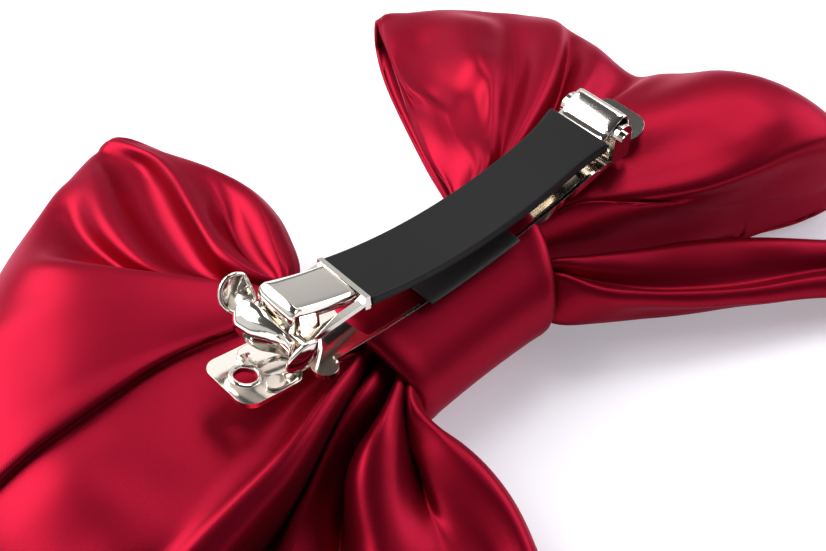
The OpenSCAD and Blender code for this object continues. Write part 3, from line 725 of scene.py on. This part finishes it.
def build_tongue():
    """Arched tongue over the clasp: it rolls down at both sides and falls at its end."""
    spine = [((x, arm_top(x)), (0, 1)) for x in np.linspace(-18.9, -28.4, 16)]
    top = arm_top(-29)
    spine += [((-28.9, top - 0.02), (-0.15, 0.99)), ((-29.35, top - 0.12), (-0.5, 0.87)),
              ((-29.65, top - 0.4), (-0.85, 0.5)), ((-29.8, top - 0.9), (-0.99, 0.1)),
              ((-29.85, top - 1.6), (-1, 0)), ((-29.9, top - 2.3), (-1, 0)),
              ((-30.0, top - 2.9), (-0.97, 0.2)), ((-30.25, top - 3.3), (-0.8, 0.6))]
    grid = []
    for (x, z), (nx, nz) in spine:
        row = []
        for side in (-1, 1):
            half = [(TONGUE_HALF, -0.75), (TONGUE_HALF, -0.35), (TONGUE_HALF - 0.1, 0.05),
                    (TONGUE_HALF - 0.4, 0.27), (2.3, 0.34), (1.3, 0.38), (0.4, 0.4)]
            points = [(x + nx * h, TONGUE_Y + side * y, z + nz * h) for y, h in half]
            row += points if side < 0 else points[::-1]
        grid.append(row)
    return grid


SADDLE = [(-4.4, -31.9, -31.2, 30.4), (-2.6, -31.8, -31.1, 30.5), (-1.2, -32.4, -31.1, 30.8),
          (0.2, -33.1, -31.1, 31.1), (1.6, -33.8, -31.1, 31.3), (3.0, -34.1, -31.1, 31.4),
          (4.2, -34.2, -31.2, 31.45), (5.1, -33.7, -31.4, 31.3)]


def build_saddle():
    """Sprung bridge between the ears' legs: a broad neck on the far side that slopes outwards,
    narrowing to a small lobe on the near side. SADDLE gives y, front, back and top."""
    grid = []
    for y, front, back, top in SADDLE:
        reach = back - front
        fall = 0.42 * reach
        grid.append([(front + 1.2, y * 0.8, 25.4), (front + 0.55, y * 0.88, top - fall - 3.2),
                     (front + 0.08, y * 0.95, top - fall - 1.9), (front, y, top - fall - 1.0),
                     (front + 0.3, y, top - fall - 0.25), (back - 0.66 * reach, y, top - 0.58 * fall),
                     (back - 0.35 * reach, y, top - 0.25 * fall), (back - 0.12, y, top - 0.02),
                     (back, y, top - 0.35), (back + 0.02, y, top - 1.5)])
    return loft_grid(grid, rows=26, step=0.4)


FOOT = [(-34.3, 4.2), (-35.0, 3.5), (-35.5, 2.5), (-35.4, 1.3), (-34.7, 0.6), (-33.5, 0.35),
        (-32.2, 0.4), (-31.0, 0.2), (-30.2, -0.4), (-29.8, -1.4), (-29.6, -2.6), (-28.6, -3.1),
        (-27.6, -2.6), (-27.2, 0), (-27.6, 2.8), (-28.8, 3.6), (-31.6, 4.4)]
NEAR_FOOT = [(-35.6, -3.4), (-34.6, -2.2), (-33.2, -2.3), (-32.2, -2.9), (-31.2, -3.6),
             (-31.2, -4.6), (-34.2, -4.7), (-35.3, -4.2)]


def plate_patch(name, outline, height, body, material):
    """A flat stamping that lies on the base plate, from its outline."""
    line = smooth_line([(*p, 0) for p in [*outline, outline[0]]], 64)[:-1]
    lower = [(x, y, plate_top(x) + 0.03) for x, y, _ in line]
    upper = [(x, y, plate_top(x) + height) for x, y, _ in line]
    count = len(line)
    verts = [tuple(c * MM for c in p) for p in lower + upper]
    faces = [tuple(range(count))[::-1], tuple(range(count, 2 * count))]
    faces += [(i, (i + 1) % count, count + (i + 1) % count, count + i) for i in range(count)]
    mesh = bpy.data.meshes.new(name)
    mesh.from_pydata(verts, [], faces)
    bm = bmesh.new()
    bm.from_mesh(mesh)
    bmesh.ops.recalc_face_normals(bm, faces=bm.faces)
    bm.to_mesh(mesh)
    bm.free()
    mesh.polygons.foreach_set("use_smooth", [True] * len(mesh.polygons))
    mesh.set_sharp_from_angle(angle=SHARP_ANGLE)
    obj = bpy.data.objects.new(name, mesh)
    bpy.context.scene.collection.objects.link(obj)
    finish_metal(obj, SHEET_EDGE, body, material)


def ear_axes(side, lean):
    """Unit vectors along an ear's disc, up its face, and out of its hollow face."""
    c, t = math.cos(math.radians(lean)), math.sin(math.radians(lean))
    return (np.array([1.0, 0, 0]), np.array([0, side * t, c]), np.array([0, -side * c, t]))


def ear_radius(a):
    """Distance from an ear's middle to its edge: round, with a straight side towards the arm."""
    return min(EAR_R, 1.95 / max(math.cos(a), 1e-3)) if math.cos(a) > 0 else EAR_R


def build_ear(side, centre, lean):
    """A finger ear: its hollow disc, the thick edge round it, and the leg under it."""
    along, up, out = ear_axes(side, lean)
    centre = np.array(centre, float)
    dish, rim = [], []
    for i in range(57):
        a = 2 * math.pi * i / 56
        reach = ear_radius(a)
        spoke = along * math.cos(a) + up * math.sin(a)
        dish.append([centre + spoke * reach * k / 10 + out * EAR_DEPTH * (k / 10) ** 2
                     for k in range(1, 11)])
        edge = centre + spoke * reach + out * EAR_DEPTH
        rim.append([edge + 0.27 * (spoke * math.cos(b) + out * math.sin(b))
                    for b in np.linspace(0, 2 * math.pi, 13)])
    dish = [[centre, *row] for row in dish]
    foot = np.array([EAR_PIVOT_X, side * EAR_PIVOT_Y, EAR_PIVOT_Z + 0.2])
    joint = centre - up * (EAR_R - 0.5) + out * 0.4
    leg = []
    for across in np.linspace(-0.9, 0.9, 7):
        shift = along * across
        leg.append(smooth_line([foot + shift, foot * 0.55 + joint * 0.45 + shift,
                                joint + shift * 0.9, joint + up * 0.8 + shift * 0.6 - out * 0.15],
                               12))
    return dish, rim, leg


def build_hole_ring():
    """Pressed rim round the sewing hole."""
    lean = math.asin(-SEW_X / PLATE_R)
    profile = [(SEW_R, -0.3), (SEW_R + 0.02, 0.02), (SEW_R + 0.12, 0.14), (SEW_R + 0.35, 0.16),
               (SEW_R + 0.62, 0.06), (SEW_R + 0.72, -0.06)]
    grid = []
    for i in range(65):
        a = 2 * math.pi * i / 64
        row = []
        for r, h in profile:
            x, y = r * math.cos(a), r * math.sin(a)
            out = PLATE_R - h
            row.append((out * math.sin(lean) + x * math.cos(lean), y,
                        PLATE_C - out * math.cos(lean) + x * math.sin(lean)))
        grid.append(row)
    return grid


def build_cover():
    """Leatherette wrapped round the arm: over the top, round both edges and under it."""
    grid = []
    stations = [(x, 1.0) for x in np.linspace(-18.3, 28.1, 64)] + [(28.3, 0.93), (28.32, 0.8)]
    for x, shrink in stations:
        half = (5.0 + 0.85 * max(0, (x - 21) / 7.2) ** 2) * shrink
        high, low = arm_line(x, COVER_R) - 0.1, arm_line(x, ARM_UNDER_R) - 0.1
        mid = (high + low) / 2
        up = (high - low) / 2 * shrink ** 4
        ring = [(0, -1), (0.5, -1), (0.9, -1), (0.97, -0.93), (1, -0.6), (1, 0.6), (0.97, 0.93),
                (0.9, 1), (0.4, 1), (0, 1)]
        loop = [(x, half * a, mid + up * b) for a, b in ring]
        loop += [(x, -half * a, mid + up * b) for a, b in ring[::-1][1:]]
        grid.append(loop)
    return grid


def build_barrel_wrap():
    """The arm's end: a hollow behind the cover, then round the hinge pin."""
    profile = [(28.22, 28.1), (28.7, 28.12), (29.2, 28.24), (29.65, 28.4), (29.85, 28.62),
               (30.2, 28.95), (30.9, 29.35), (31.8, 29.8), (32.6, 30.1), (33.4, 30.1), (34.0, 29.5),
               (34.35, 28.3), (34.4, 27.1), (34.2, 26.3), (33.7, 25.7)]
    grid = []
    for y in np.linspace(-4.55, 4.55, 20):
        drop = 0.18 * max(0, abs(y) - 3.9) ** 1.5 / 0.65 ** 1.5
        grid.append(smooth_line([(x, y, z - drop) for x, z in profile], 36))
    return grid


# ---------------------------------------------------------------- assembly


def cloth_piece(obj, body, nodes, material):
    """Enters a satin sheet in the frame in place of CAD nodes."""
    obj.data.materials.append(material)
    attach(obj, body)
    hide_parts(*nodes)


add_camera()
add_floor()
add_lights()
add_world()

satin = satin_material()
nickel = nickel_material()
leatherette = leatherette_material()
label = label_material()
thread = thread_material()

for node_name, mat in (("hinge_pin", nickel), ("binding_thread", thread)):
    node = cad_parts[node_name]
    node.data.materials.clear()
    node.data.materials.append(mat)

rounded_copy("base_plate", 0.14, "bow", nickel)
rounded_copy("top_arm", 0.12, "arm", nickel)
metal_sheet("wrapped_cover", build_cover(), 0.24, "arm", leatherette, ["arm_cover"])
rounded_copy("tension_bar", 0.1, "bow", nickel)
for side, word, middle, lean in EARS:
    dish, rim, leg = build_ear(side, middle, lean)
    metal_sheet(word + "_ear_dish", dish, 0.35, word + "_ear", nickel,
                [word + "_latch_ear"])
    metal_sheet(word + "_ear_rim", rim, 0.08, word + "_ear", nickel)
    metal_sheet(word + "_ear_leg", leg, 0.4, word + "_ear", nickel)
rounded_copy("label_tag", 0.1, "bow", label)
metal_sheet("arched_tongue", build_tongue(), 0.4, "arm", nickel)
metal_sheet("latch_saddle", build_saddle(), 0.45, "bow", nickel, ["latch_base"])
plate_patch("latch_foot", FOOT, 0.5, "bow", nickel)
plate_patch("latch_near_foot", NEAR_FOOT, 0.5, "bow", nickel)
metal_sheet("hole_rim", build_hole_ring(), 0.12, "bow", nickel)
metal_sheet("barrel_wrap", build_barrel_wrap(), 0.3, "arm", nickel)

left_loop = build_loop("satin_left_loop", LEFT_LOOP_TOPS, -1, 120)
right_loop = build_loop("satin_right_loop", RIGHT_LOOP_TOPS, 1, 120)
left_tail = build_tail("satin_left_tail", LEFT_TAIL, 80)
right_tail = build_tail("satin_right_tail", RIGHT_TAIL, 80)
band = build_band()

cloth_piece(left_loop, "bow", ["left_loop"], satin)
cloth_piece(right_loop, "bow", ["right_loop"], satin)
cloth_piece(left_tail, "bow", ["left_tail"], satin)
cloth_piece(right_tail, "bow", ["right_tail"], satin)
cloth_piece(band, "bow", ["knot_band", "gather_core"], satin)
